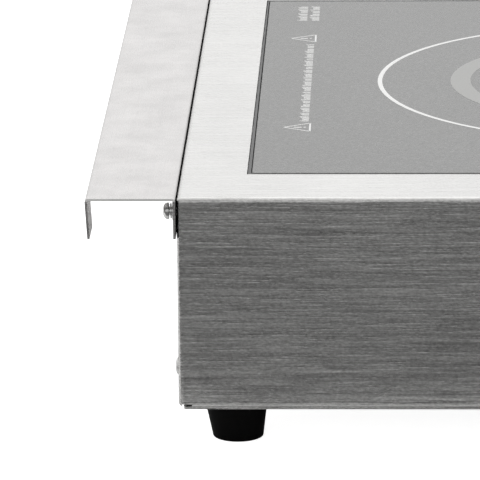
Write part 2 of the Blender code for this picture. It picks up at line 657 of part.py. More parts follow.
def make_power_board():
    x, front, rear = 0.075, -0.075, 0.080
    flat("power_board", [rounded_rectangle(0, (front + rear) / 2, 2 * x, rear - front, 0.002, 2)],
         BOARD_Z, BOARD_TOP_Z, "circuit_board")
    make_heat_sink()
    make_package("igbt", -0.022, 0.016, 0.020, 3)
    make_package("bridge_rectifier", 0.022, 0.024, 0.018, 4)
    box("filter_capacitor", (-0.066, 0.002, PART_Z), (-0.034, 0.020, PART_Z + 0.028),
        "capacitor_plastic", rounding=0.0010)
    box("resonance_capacitor", (-0.028, 0.045, PART_Z), (0.014, 0.067, PART_Z + 0.032),
        "capacitor_plastic", rounding=0.0010)
    minor, major = 0.0055, 0.0125
    profile = [(major + minor * math.cos(a), minor * math.sin(a))
               for a in (math.pi / 2 - 2 * math.pi * i / 10 for i in range(10))]
    turned("filter_choke", profile, "copper_litz", at(0.050, 0.050, PART_Z + minor + 0.0005), 20,
           bored=True)
    block = [rounded_rectangle(0, 0.009, 0.036, 0.018, 0.001, 2)]
    block += [circle(step * 0.011, 0.009, 0.0026, 10) for step in (-1, 0, 1)]
    flat("terminal_block", block, 0, 0.020, "grey_plastic",
         at(0.115, 0.150, BASE_TOP_Z + GAP) @ Matrix.Rotation(math.pi / 2, 4, "X"))


def make_leads():
    """The lead from the terminal block to the board, and the board-to-board ribbon."""
    tube("mains_lead", [(0.115, 0.1290, 0.0240), (0.115, 0.1200, 0.0240), (0.112, 0.1080, 0.0260),
                        (0.104, 0.0980, 0.0310), (0.092, 0.0900, 0.0340), (0.078, 0.0840, 0.0345),
                        (0.066, 0.0790, 0.0335), (0.0585, 0.0740, 0.0300),
                        (0.0570, 0.0720, 0.0255)], 0.0022, "wire_insulation")
    plug_end = ON_SLOPE @ Vector((0, 0.020, CONTROL_BOARD_TOP - BOARD_THICKNESS - GAP))
    below = ON_SLOPE @ Vector((0, 0.020, CONTROL_BOARD_TOP - 0.0120))
    path = [(-0.0732, PART_Z), (-0.0732, 0.0360), (-0.0980, 0.0470), below.yz, plug_end.yz]
    flat("control_ribbon", [folded_sheet(path, [0.004, 0.004, 0.004], 0.0008)], -0.006, 0.006,
         "grey_plastic", ALONG_X)


# ---------------------------------------------------------------- fans
def make_fan(side, sign, shared):
    place = at(sign * FAN_X, FAN_Y, BASE_TOP_Z + GAP)
    bore, half = 0.0385, FAN_SIZE / 2
    loops = [rounded_rectangle(0, 0, FAN_SIZE, FAN_SIZE, 0.004, 2), circle(0, 0, bore, 28)]
    loops += [circle(sx * (half - 0.0045), sy * (half - 0.0045), 0.0021, 8)
              for sx in (-1, 1) for sy in (-1, 1)]
    frame = flat(f"fan_{side}_frame", loops, 0, FAN_THICKNESS, "black_plastic", place)
    motor = cylinder(f"fan_{side}_motor_seat", 0.016, 0, 0.003, place=place, sides=24)
    boolean(frame, motor, "UNION")
    for i in range(2):
        strut = box(f"fan_{side}_strut_{i + 1}", (-bore - 0.001, -0.002, 0),
                    (bore + 0.001, 0.002, 0.003),
                    place=place @ Matrix.Rotation(math.radians(45 + 90 * i), 4, "Z"))
        boolean(frame, strut, "UNION")
    if not shared:
        shared.append(rotor_mesh())
    add_object(f"fan_{side}_rotor", shared[0], "black_plastic", place)


def rotor_mesh():
    """Hub and seven pitched blades about local Z."""
    hub = turned("rotor_hub", [(0, 0.0225), (0.0145, 0.0225), (0.0160, 0.0210),
                               (0.0160, 0.0040), (0, 0.0040)], steps=28)
    blades = bmesh.new()
    count, pitch_angle = 7, math.radians(38)
    for i in range(count):
        made = bmesh.ops.create_cube(blades, size=1)
        verts = made["verts"]
        bmesh.ops.scale(blades, vec=(0.0225, 0.0150, 0.0014), verts=verts)
        bmesh.ops.rotate(blades, cent=(0, 0, 0), matrix=Matrix.Rotation(pitch_angle, 3, "X"),
                         verts=verts)
        bmesh.ops.translate(blades, vec=(0.0255, 0, 0.0130), verts=verts)
        bmesh.ops.rotate(blades, cent=(0, 0, 0), verts=verts,
                         matrix=Matrix.Rotation(2 * math.pi * i / count, 3, "Z"))
    mesh = bpy.data.meshes.new("rotor_blades")
    blades.to_mesh(mesh)
    blades.free()
    boolean(hub, add_object("rotor_blades", mesh), "UNION")
    rotor = evaluated_mesh(hub)
    rotor.materials.clear()
    return rotor


# ---------------------------------------------------------------- controls
def make_control_panel():
    width, height = 0.296, 0.074
    window = tuple(size + 0.0006 for size in WINDOW_SIZE)
    loops = [rounded_rectangle(0, 0, width, height, 0.004)]
    loops.append(rounded_rectangle(WINDOW_X, WINDOW_UP, *window, 0.002, 3))
    loops += [circle(x, BUTTON_UP, BUTTON_RADIUS + 0.0006, 24) for x in BUTTONS.values()]
    loops.append(circle(KNOB_X, KNOB_UP, 0.0060, 20))
    flat("control_overlay", loops, GAP, GAP + 0.0004, "overlay_film", ON_SLOPE)
    flat("display_window", [rounded_rectangle(WINDOW_X, WINDOW_UP, *WINDOW_SIZE, 0.002, 3)],
         GAP, GAP + 0.0008, "smoked_window", ON_SLOPE)
    width, height = (size - 0.006 for size in WINDOW_SIZE)
    box("display_module", (-width / 2, -height / 2, CONTROL_BOARD_TOP + GAP),
        (width / 2, height / 2, -SHEET - 0.0010), "black_plastic",
        ON_SLOPE @ at(WINDOW_X, WINDOW_UP, 0), 0.0006)


def make_control_board():
    bottom = CONTROL_BOARD_TOP - BOARD_THICKNESS
    board = flat("control_board", [rounded_rectangle(-0.005, -0.002, 0.276, 0.052, 0.002, 2)],
                 bottom, CONTROL_BOARD_TOP, "circuit_board", ON_SLOPE)
    for name, x in BUTTONS.items():
        boolean(board, box(f"{name}_switch", (-SWITCH_HALF, -SWITCH_HALF, bottom + 0.0004),
                           (SWITCH_HALF, SWITCH_HALF, CONTROL_BOARD_TOP + SWITCH_HEIGHT),
                           place=ON_SLOPE @ at(x, BUTTON_UP, 0)), "UNION")


def make_buttons():
    """A cap in the panel, a flange behind it and a stem over its switch."""
    crown, r = 0.0028, BUTTON_RADIUS
    flange_top = -SHEET - GAP
    profile = [(0, crown), (r - 0.0012, crown), (r - 0.0003, crown - 0.0004), (r, crown - 0.0012),
               (r, flange_top), (r + 0.0024, flange_top), (r + 0.0024, flange_top - 0.0012),
               (0.0022, flange_top - 0.0012), (0.0022, -0.0085), (0, -0.0085)]
    for name, x in BUTTONS.items():
        turned(name, profile, "bright_steel", ON_SLOPE @ at(x, BUTTON_UP, 0), 20)


def make_knob():
    place = ON_SLOPE @ at(KNOB_X, KNOB_UP, 0)
    base = 0.0012                                   # clears the overlay
    top, r = base + KNOB_HEIGHT, KNOB_RADIUS
    bore, shaft = 0.0033, 0.0030
    knob = turned("control_knob", [(0, top), (r - 0.0034, top), (r - 0.0022, top - 0.0008),
                                   (r - 0.0014, base + 0.0035), (r, base + 0.0028), (r, base),
                                   (bore, base), (bore, 0.0123), (0, 0.0123)],
                  "black_plastic", place, 36)
    boolean(knob, box("knob_pointer_cut", (-0.0008, 0.0040, top - 0.0006),
                      (0.0008, r, top + 0.0010), place=place))
    turned("encoder_shaft", [(0, 0.0120), (shaft, 0.0120), (shaft, -0.0125), (0, -0.0125)],
           "bright_steel", place, 16)
    low = CONTROL_BOARD_TOP + GAP
    body = box("encoder_body", (-0.0065, -0.0065, low), (0.0065, 0.0065, -0.0080),
               "grey_plastic", place)
    boolean(body, cylinder("encoder_bush", 0.0044, -0.0090, -SHEET - 0.0006, place=place), "UNION")
    boolean(body, cylinder("encoder_bore", bore, -0.0128, 0.001, place=place, sides=16))


# ---------------------------------------------------------------- cable entry
def make_cable_gland():
    face = REAR_PANEL_Y + GAP
    place = at(GLAND_X, face, GLAND_Z) @ FACING_REAR
    bore, thread = 0.0046, GLAND_THREAD
    gland = turned("cable_gland", [(0.0060, 0.0210), (0.0078, 0.0205), (0.0098, 0.0165),
                                   (0.0105, 0.0070), (0.0105, 0.0020), (0.0118, 0.0015),
                                   (0.0118, 0.0), (thread, 0.0), (thread, -0.0110),
                                   (bore, -0.0110), (bore, 0.0205)],
                   "black_plastic", place, 24, bored=True)
    bm = bmesh.new()
    bmesh.ops.create_cone(bm, cap_ends=True, segments=6, radius1=0.0128, radius2=0.0128,
                          depth=0.0060)
    bmesh.ops.translate(bm, vec=(0, 0, 0.0030), verts=bm.verts)
    mesh = bpy.data.meshes.new("gland_hexagon")
    bm.to_mesh(mesh)
    bm.free()
    hexagon = add_object("gland_hexagon", mesh, place=place)
    boolean(hexagon, cylinder("gland_hexagon_bore", 0.0085, -0.001, 0.007, place=place, sides=24))
    boolean(gland, hexagon, "UNION")
    nut = [circle(0, 0, 0.0150, 6), circle(0, 0, thread + GAP, 24)]
    flat("gland_nut", nut, -0.0055, 0, "black_plastic",
         at(GLAND_X, REAR_PANEL_Y - SHEET - GAP, GLAND_Z) @ FACING_REAR)


def shade_round_pieces():
    for piece in hob.objects:
        if piece.type == "MESH":
            piece.data.shade_smooth()
            piece.data.set_sharp_from_angle(angle=math.radians(35))


make_top_cover()
make_front_panel()
make_rear_panel()
make_base_plate()
make_rear_channel()
make_rear_screws()
make_feet()
make_glass()
make_coil()
make_coil_support()
make_power_board()
make_leads()
rotor = []
for side_name, side_sign in SIDES.items():
    make_fan(side_name, side_sign, rotor)
make_control_panel()
make_control_board()
make_buttons()
make_knob()
make_cable_gland()
shade_round_pieces()
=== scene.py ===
"""Detailed model of the induction hob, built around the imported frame."""
import json
import math

import bmesh
import bpy
from mathutils import Matrix, Vector


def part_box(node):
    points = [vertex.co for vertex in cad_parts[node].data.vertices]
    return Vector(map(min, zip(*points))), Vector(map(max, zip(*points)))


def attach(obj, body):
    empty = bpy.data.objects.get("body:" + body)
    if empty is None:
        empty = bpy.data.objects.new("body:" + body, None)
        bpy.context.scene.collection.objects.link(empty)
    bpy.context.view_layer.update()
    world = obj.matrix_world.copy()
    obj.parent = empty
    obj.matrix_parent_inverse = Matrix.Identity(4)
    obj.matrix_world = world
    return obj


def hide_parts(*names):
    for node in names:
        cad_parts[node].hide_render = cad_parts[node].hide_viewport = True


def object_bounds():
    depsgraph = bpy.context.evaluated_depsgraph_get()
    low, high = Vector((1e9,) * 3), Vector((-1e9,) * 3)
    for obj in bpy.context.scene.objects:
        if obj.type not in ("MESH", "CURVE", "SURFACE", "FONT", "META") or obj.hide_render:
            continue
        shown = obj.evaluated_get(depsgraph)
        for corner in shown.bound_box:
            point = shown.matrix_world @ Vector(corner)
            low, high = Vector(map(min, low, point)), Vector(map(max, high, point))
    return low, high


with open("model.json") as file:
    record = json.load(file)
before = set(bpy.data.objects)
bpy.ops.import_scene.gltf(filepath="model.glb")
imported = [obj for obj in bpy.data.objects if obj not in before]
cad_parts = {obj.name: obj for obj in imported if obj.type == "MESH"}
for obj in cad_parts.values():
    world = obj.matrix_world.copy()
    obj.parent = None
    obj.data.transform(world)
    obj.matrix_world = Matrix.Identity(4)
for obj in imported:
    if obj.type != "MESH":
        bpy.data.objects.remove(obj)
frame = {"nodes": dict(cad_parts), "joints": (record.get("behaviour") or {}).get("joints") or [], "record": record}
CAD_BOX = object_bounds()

# ---------------------------------------------------------------- places read from the frame
COVER_LOW, COVER_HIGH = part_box("top_cover")
GLASS_LOW, GLASS_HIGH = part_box("glass_plate")
CHANNEL_LOW, CHANNEL_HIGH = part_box("rear_channel")
BASE_LOW, BASE_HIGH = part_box("base_plate")
GLASS_MIDDLE = (GLASS_LOW + GLASS_HIGH) / 2
TOP_Z = COVER_HIGH.z
LEFT_X, REAR_Y = COVER_LOW.x, COVER_HIGH.y

# The control slope: its outward normal is the dial's axis, and "up" runs up the slope.
DIAL = next(joint for joint in frame["joints"] if joint["name"] == "dial_turn")
SLOPE_NORMAL = Vector(DIAL["axis"]).normalized()
SLOPE_ANGLE = math.atan2(-SLOPE_NORMAL.y, SLOPE_NORMAL.z)


def on_slope(point):
    """A frame on the control slope at a point, with local Z along the normal."""
    return Matrix.Translation(point) @ Matrix.Rotation(SLOPE_ANGLE, 4, "X")


def box_middle(node):
    low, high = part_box(node)
    return (low + high) / 2


# ---------------------------------------------------------------- node materials
class Shader:
    """A Principled material with short helpers for its nodes."""

    def __init__(self, name, colour, roughness, metallic=0.0, **sockets):
        self.material = bpy.data.materials.new(name)
        self.material.use_nodes = True
        self.tree = self.material.node_tree
        self.principled = self.tree.nodes["Principled BSDF"]
        self.set("Base Color", (*colour, 1))
        self.set("Roughness", roughness)
        self.set("Metallic", metallic)
        for socket, value in sockets.items():
            self.set(socket.replace("_", " "), value)
        self.colour = colour

    def set(self, socket, value):
        self.principled.inputs[socket].default_value = value

    def node(self, kind, **settings):
        node = self.tree.nodes.new(kind)
        for key, value in settings.items():
            setattr(node, key, value)
        return node

    def link(self, source, target):
        self.tree.links.new(source, target)

    def place(self, scale):
        """Object coordinates in metres, stretched by a scale."""
        where = self.node("ShaderNodeTexCoord")
        mapping = self.node("ShaderNodeMapping")
        mapping.inputs["Scale"].default_value = scale
        self.link(where.outputs["Object"], mapping.inputs["Vector"])
        return mapping.outputs["Vector"]

    def noise(self, scale, detail=3.0, rough=0.5, vector_scale=(1, 1, 1)):
        node = self.node("ShaderNodeTexNoise")
        node.inputs["Scale"].default_value = scale
        node.inputs["Detail"].default_value = detail
        node.inputs["Roughness"].default_value = rough
        self.link(self.place(vector_scale), node.inputs["Vector"])
        return node.outputs["Fac"]

    def remap(self, value, low, high, from_low=0.3, from_high=0.7):
        """Map a value to low..high; the defaults are the span that noise mostly fills."""
        node = self.node("ShaderNodeMapRange")
        for socket, number in (("From Min", from_low), ("From Max", from_high),
                               ("To Min", low), ("To Max", high)):
            node.inputs[socket].default_value = number
        self.link(value, node.inputs["Value"])
        return node.outputs["Result"]

    def math(self, operation, a, b=0.0):
        """A math node; a and b are numbers or sockets."""
        node = self.node("ShaderNodeMath", operation=operation)
        for socket, value in zip(node.inputs, (a, b)):
            if isinstance(value, (int, float)):
                socket.default_value = value
            else:
                self.link(value, socket)
        return node.outputs["Value"]

    def tint(self, factor):
        """Multiply the base colour by a factor that varies about 1."""
        node = self.node("ShaderNodeMix", data_type="RGBA", blend_type="MULTIPLY")
        node.inputs["Factor"].default_value = 1
        node.inputs["A"].default_value = (*self.colour, 1)
        grey = self.node("ShaderNodeCombineColor")
        for channel in ("Red", "Green", "Blue"):
            self.link(factor, grey.inputs[channel])
        self.link(grey.outputs["Color"], node.inputs["B"])
        self.link(node.outputs["Result"], self.principled.inputs["Base Color"])

    def mix_colour(self, factor, other):
        """Blend the base colour towards another."""
        node = self.node("ShaderNodeMix", data_type="RGBA")
        self.link(factor, node.inputs["Factor"])
        node.inputs["A"].default_value = (*self.colour, 1)
        node.inputs["B"].default_value = (*other, 1)
        self.link(node.outputs["Result"], self.principled.inputs["Base Color"])

    def roughen(self, factor):
        self.link(factor, self.principled.inputs["Roughness"])

    def bump(self, height, distance, strength=1.0):
        node = self.node("ShaderNodeBump")
        node.inputs["Strength"].default_value = strength
        node.inputs["Distance"].default_value = distance
        self.link(height, node.inputs["Height"])
        self.link(node.outputs["Normal"], self.principled.inputs["Normal"])


def along_grain(grain, lengthwise, across):
    """A scale for each axis: features are long where the scale is small."""
    return tuple(lengthwise if axis == grain else across for axis in "XYZ")


SCRATCH_DEPTH = 0.00020
UPRIGHT_Z, LEVEL_Z = 0.3, 0.9      # a normal's Z below which a face is upright, above which level


def brushed_steel(name, grain, colour=(0.624, 0.620, 0.610), roughness=0.27,
                  streak=0.25, upright=8.4, cloud=0.04, cloud_scale=28.0):
    """Sheet with short fine scratches along one axis, longer bands and a slight haze.

    The upright faces show the scratches `upright` times as strongly: the scratches are the sheet's own grain, and
    the extra contrast on upright faces is painted shading for how the brushing catches the light there.
    """
    shader = Shader(name, colour, roughness, 1.0)
    scratches = shader.noise(1.0, 2.0, 0.6, along_grain(grain, 48, 1500))
    bands = shader.noise(1.0, 3.0, 0.6, along_grain(grain, 9, 520))
    grit = shader.noise(1.0, 1.0, 0.5, along_grain(grain, 900, 1900))
    haze = shader.noise(cloud_scale, 4.0, 0.62)
    lines = shader.math("ADD", shader.math("MULTIPLY", scratches, 0.55),
                        shader.math("MULTIPLY", bands, 0.45))
    facing = shader.node("ShaderNodeSeparateXYZ")
    shader.link(shader.node("ShaderNodeTexCoord").outputs["Normal"], facing.inputs["Vector"])
    level = shader.math("ABSOLUTE", facing.outputs["Z"])
    # painted shading: upright faces get stronger light and dark scratch streaks, standing in for how the brushing
    # catches the light on the sides
    strength = shader.remap(level, upright * streak, streak, UPRIGHT_Z, LEVEL_Z)
    line_share, grit_share = 0.8, 0.5
    worn = shader.math("ADD", shader.math("MULTIPLY", lines, line_share),
                       shader.math("MULTIPLY", grit, grit_share))
    average = (line_share + grit_share) / 2
    shade = shader.math("MULTIPLY", shader.math("SUBTRACT", worn, average), strength)
    shader.tint(shader.math("MULTIPLY", shader.math("ADD", shade, 1.0),
                            shader.remap(haze, 1 - cloud, 1 + cloud)))
    shader.roughen(shader.math("ADD", shader.remap(lines, roughness - 0.07, roughness + 0.07),
                               shader.remap(haze, -0.01, 0.01)))
    shader.bump(shader.math("ADD", lines, shader.math("MULTIPLY", grit, 0.30)), SCRATCH_DEPTH)
    return shader.material


def speckled_glass(name):
    """Opaque grey glass: fine pale flecks under a satin surface."""
    shader = Shader(name, (0.131, 0.131, 0.128), 0.26)
    flecks = shader.noise(900.0, 2.0, 0.8)
    cloud = shader.noise(14.0, 2.0, 0.5)
    shader.tint(shader.math("MULTIPLY", shader.remap(flecks, 0.55, 1.45),
                            shader.remap(cloud, 0.96, 1.04)))
    shader.roughen(shader.remap(flecks, 0.22, 0.30))
    shader.bump(flecks, 0.00002, 0.5)
    return shader.material


def moulded(name, colour, roughness=0.45, grain=1800.0, depth=0.00002, **sockets):
    """Plastic or rubber with a fine moulded grain and slight wear."""
    shader = Shader(name, colour, roughness, **sockets)
    texture = shader.noise(grain, 2.0, 0.6)
    wear = shader.noise(60.0, 4.0, 0.6)
    shader.tint(shader.remap(wear, 0.90, 1.10))
    shader.roughen(shader.remap(wear, roughness - 0.06, roughness + 0.06))
    shader.bump(texture, depth, 0.6)
    return shader.material


def plain_metal(name, colour, roughness):
    """Bare or plated metal with fine grain and faint patches."""
    shader = Shader(name, colour, roughness, 1.0)
    fine = shader.noise(900.0, 3.0, 0.6)
    patches = shader.noise(70.0, 3.0, 0.6)
    shader.tint(shader.remap(patches, 0.92, 1.05))
    shader.roughen(shader.remap(fine, roughness - 0.05, roughness + 0.06))
    shader.bump(fine, 0.00001, 0.4)
    return shader.material


def printed(name, colour):
    """Fired enamel print with slightly uneven cover."""
    shader = Shader(name, colour, 0.55)
    cover = shader.noise(1400.0, 2.0, 0.6)
    shader.tint(shader.remap(cover, 0.94, 1.04))
    shader.bump(cover, 0.000008, 0.4)
    return shader.material


def litz(name):
    """Enamelled strands twisted along the wire."""
    shader = Shader(name, (0.50, 0.20, 0.08), 0.35, 0.8)
    strands = shader.node("ShaderNodeTexWave", wave_type="RINGS", rings_direction="Z")
    strands.inputs["Scale"].default_value = 420.0
    strands.inputs["Distortion"].default_value = 3.0
    shader.link(shader.place((1, 1, 1)), strands.inputs["Vector"])
    shader.tint(shader.remap(strands.outputs["Fac"], 0.65, 1.15, 0.0, 1.0))
    shader.bump(strands.outputs["Fac"], 0.0002, 0.6)
    return shader.material


def circuit_board(name):
    """Solder mask with lighter tracks."""
    shader = Shader(name, (0.012, 0.10, 0.045), 0.35)
    tracks = shader.node("ShaderNodeTexBrick")
    tracks.inputs["Scale"].default_value = 60.0
    tracks.inputs["Mortar Size"].default_value = 0.035
    tracks.inputs["Color1"].default_value = (0, 0, 0, 1)
    tracks.inputs["Color2"].default_value = (0, 0, 0, 1)
    tracks.inputs["Mortar"].default_value = (1, 1, 1, 1)
    shader.link(shader.place((1, 1, 1)), tracks.inputs["Vector"])
    shader.mix_colour(tracks.outputs["Color"], (0.03, 0.22, 0.10))
    shader.bump(tracks.outputs["Color"], 0.00004, 0.5)
    return shader.material


MATERIALS = {
    "steel_sheet": brushed_steel("steel_sheet", "Y"),
    "panel_steel": brushed_steel("panel_steel", "X"),
    "channel_steel": brushed_steel("channel_steel", "X", (0.568, 0.555, 0.549),
                                   streak=0.2, cloud=0.09, cloud_scale=70.0),
    "bright_steel": plain_metal("bright_steel", (0.72, 0.72, 0.71), 0.14),
    "glass_ceramic": speckled_glass("glass_ceramic"),
    "silicone": moulded("silicone", (0.11, 0.11, 0.11), 0.55, 700.0, 0.00003),
    "rubber": moulded("rubber", (0.0018, 0.0018, 0.0018), 0.60, 1500.0, 0.00004,
                      Specular_IOR_Level=0.06),
    # painted shade: a near-black, barely reflecting sheet on the channel's face in the gap against the housing,
    # standing in for the shadow there
    "painted_gap_shade": moulded("painted_gap_shade", (0.003, 0.003, 0.003), 0.80, 1500.0, 0.00002,
                          Specular_IOR_Level=0.04),
    # painted highlight: a pale grey on the channel web's cut ends, standing in for the light the edge catches
    "painted_edge_highlight": moulded("painted_edge_highlight", (0.50, 0.50, 0.49), 0.60),
    "copper_litz": litz("copper_litz"),
    "ferrite": moulded("ferrite", (0.05, 0.05, 0.055), 0.70, 2500.0, 0.00003),
    "mica": moulded("mica", (0.45, 0.37, 0.25), 0.50, 900.0, 0.00004),
    "carrier_plastic": moulded("carrier_plastic", (0.70, 0.68, 0.62), 0.50),
    "circuit_board": circuit_board("circuit_board"),
    "aluminium": plain_metal("aluminium", (0.75, 0.75, 0.76), 0.38),
    "black_plastic": moulded("black_plastic", (0.018, 0.018, 0.019), 0.42),
    "capacitor_plastic": moulded("capacitor_plastic", (0.55, 0.33, 0.03), 0.35),
    "overlay_film": moulded("overlay_film", (0.030, 0.031, 0.034), 0.38, 3200.0, 0.00001),
    "smoked_window": moulded("smoked_window", (0.010, 0.004, 0.004), 0.08, 4000.0, 0.000002),
    "grey_plastic": moulded("grey_plastic", (0.32, 0.33, 0.34), 0.45),
    "wire_insulation": moulded("wire_insulation", (0.28, 0.02, 0.015), 0.45),
    "white_print": printed("white_print", (0.85, 0.85, 0.84)),
    "grey_print": printed("grey_print", (0.40, 0.40, 0.39)),
    "segment_off": moulded("segment_off", (0.10, 0.012, 0.010), 0.4),
}
SLOT_OF = {entry["node"]: entry["material_slot"] for entry in frame["record"]["subparts"]}
BODY_OF = {node: body for body, nodes in frame["record"]["behaviour"]["bodies"].items()
           for node in nodes}


# ---------------------------------------------------------------- mesh helpers
SMOOTH_ANGLE = 35      # the sharpest fold, in degrees, still shaded round


def new_piece(name, bm, finish, place=None, smooth=SMOOTH_ANGLE):
    """Turn a bmesh into a piece; smooth is the sharpest angle still shaded round."""
    bmesh.ops.recalc_face_normals(bm, faces=bm.faces)
    mesh = bpy.data.meshes.new(name)
    bm.to_mesh(mesh)
    bm.free()
    mesh.materials.append(MATERIALS[finish])
    mesh.shade_smooth()
    mesh.set_sharp_from_angle(angle=math.radians(smooth))
    piece = bpy.data.objects.new(name, mesh)
    bpy.context.scene.collection.objects.link(piece)
    piece.matrix_world = place or Matrix.Identity(4)
    return piece


def stands_for(piece, *nodes):
    """The piece takes the body and the place of its CAD nodes."""
    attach(piece, BODY_OF[nodes[0]])
    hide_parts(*nodes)


def print_on(piece, body):
    """A piece of its own, with no CAD node, rides on a body."""
    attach(piece, body)


def refined(node, finish, edge=0.0, settle=None):
    """A node's own shape with welded, round-shaded folds and broken sheet edges.

    settle changes the bmesh before it is welded.
    """
    bm = bmesh.new()
    bm.from_mesh(frame["nodes"][node].data)
    if settle:
        settle(bm)
    bmesh.ops.remove_doubles(bm, verts=bm.verts, dist=0.000002)
    bmesh.ops.dissolve_limit(bm, angle_limit=math.radians(0.5), verts=bm.verts, edges=bm.edges,
                              delimit={"MATERIAL"})
    piece = new_piece(f"{node}_detail", bm, finish)
    for layer in list(piece.data.uv_layers):
        piece.data.uv_layers.remove(layer)
    if edge:
        modifier = piece.modifiers.new("edges", "BEVEL")
        modifier.width = edge
        modifier.segments = 2
        modifier.limit_method = "ANGLE"
        modifier.angle_limit = math.radians(50)
        modifier.use_clamp_overlap = True
    piece.modifiers.new("flat_faces", "WEIGHTED_NORMAL").keep_sharp = True
    stands_for(piece, node)
    return piece


def lathe(profile, steps=48):
    """A bmesh turned about Z from (radius, height) points."""
    bm = bmesh.new()
    verts = [bm.verts.new((r, 0, z)) for r, z in profile]
    edges = [bm.edges.new(pair) for pair in zip(verts, verts[1:])]
    bmesh.ops.spin(bm, geom=verts + edges, axis=(0, 0, 1), cent=(0, 0, 0),
                   angle=2 * math.pi, steps=steps)
    bmesh.ops.remove_doubles(bm, verts=bm.verts, dist=0.000001)
    return bm


def cut(piece, cutter_bm, place):
    """Take a cutter's shape out of a piece, and apply it."""
    mesh = bpy.data.meshes.new("cutter")
    cutter_bm.to_mesh(mesh)
    cutter_bm.free()
    cutter = bpy.data.objects.new("cutter", mesh)
    bpy.context.scene.collection.objects.link(cutter)
    cutter.matrix_world = place
    modifier = piece.modifiers.new("cut", "BOOLEAN")
    modifier.operation = "DIFFERENCE"
    modifier.object = cutter
    bpy.context.view_layer.update()
    depsgraph = bpy.context.evaluated_depsgraph_get()
    result = bpy.data.meshes.new_from_object(piece.evaluated_get(depsgraph))
    piece.modifiers.clear()
    piece.data = result
    result.shade_smooth()
    result.set_sharp_from_angle(angle=math.radians(SMOOTH_ANGLE))
    bpy.data.objects.remove(cutter)


def cross_cutter(span, width, depth):
    """A tapered plus-shaped plug, for a cross recess that opens along +Z."""
    bm = bmesh.new()
    long, short = span / 2, width / 2
    quarter = [(long, -short), (long, short), (short, short)]
    outline = [(x, y) if turn == 0 else (-y, x) if turn == 1 else (-x, -y) if turn == 2
               else (y, -x) for turn in range(4) for x, y in quarter]
    tip, mouth = -depth, 0.0003
    rings = [[bm.verts.new((x * k, y * k, z)) for x, y in outline]
             for z, k in ((tip, 0.45), (mouth, 1.0))]
    for i in range(len(outline)):
        j = (i + 1) % len(outline)
        bm.faces.new((rings[0][i], rings[0][j], rings[1][j], rings[1][i]))
    bm.faces.new(rings[0][::-1])
    bm.faces.new(rings[1])
    return bm


def bar_bm(bm, start, end, width, thickness, height=0.0):
    """A thin printed stroke between two points in local XY."""
    start, end = Vector(start), Vector(end)
    along = end - start
    made = bmesh.ops.create_cube(bm, size=1)["verts"]
    bmesh.ops.scale(bm, vec=(along.length, width, thickness), verts=made)
    bmesh.ops.rotate(bm, cent=(0, 0, 0), verts=made,
                     matrix=Matrix.Rotation(math.atan2(along.y, along.x), 3, "Z"))
    middle = (start + end) / 2
    bmesh.ops.translate(bm, vec=(middle.x, middle.y, height + thickness / 2), verts=made)


# ---------------------------------------------------------------- housing
def turn_up_edge(bm):
    """The base plate's rim is pressed up against the folded housing."""
    width, within_sheet, lift = 0.0006, 0.0004, 0.00026
    for vert in bm.verts:
        inside_x = abs(vert.co.x) <= BASE_HIGH.x - width
        inside_y = BASE_LOW.y + width < vert.co.y < BASE_HIGH.y - width
        on_rim = not (inside_x and inside_y)
        if on_rim and vert.co.z > BASE_LOW.z + within_sheet:
            vert.co.z += lift


def mark_channel_faces(bm):
    """A near-black sheet on the face against the housing is painted shade for the dark gap there; along the web,
    the channel's two cut ends get a pale painted highlight.
    """
    web, painted_shade_index, painted_highlight_index = 0.0010, 1, 2      # just over the web's thickness; material indices
    under_web = CHANNEL_HIGH.z - web
    everything = bm.verts[:] + bm.edges[:] + bm.faces[:]
    bmesh.ops.bisect_plane(bm, geom=everything, plane_co=(0, 0, under_web), plane_no=(0, 0, 1))
    bm.normal_update()
    for face in bm.faces:
        middle = face.calc_center_median()
        # painted shade on the face that lies in the gap against the housing
        if face.normal.y < -0.9 and middle.y < CHANNEL_LOW.y + 0.0002:
            face.material_index = painted_shade_index
        # painted highlight on the web's cut ends only; the legs' ends keep the steel
        elif abs(face.normal.x) > 0.9 and middle.z > under_web:
            face.material_index = painted_highlight_index


def make_housing():
    refined("top_cover", "steel_sheet", 0.00012)
    channel = refined("rear_channel", "channel_steel", 0.0003, settle=mark_channel_faces)
    # slot 1 holds the painted gap shade, slot 2 the painted edge highlight
    for finish in ("painted_gap_shade", "painted_edge_highlight"):
        channel.data.materials.append(MATERIALS[finish])
    refined("front_panel", "panel_steel", 0.00012)
    refined("rear_panel", "panel_steel")
    refined("base_plate", "steel_sheet", settle=turn_up_edge)
    refined("glass_frame", "panel_steel")


FACING_REAR = Matrix.Rotation(-math.pi / 2, 4, "X")
WASHER_HOLE, WASHER_SEAT = 0.0016, 0.00085      # radius, and distance behind the channel's front face


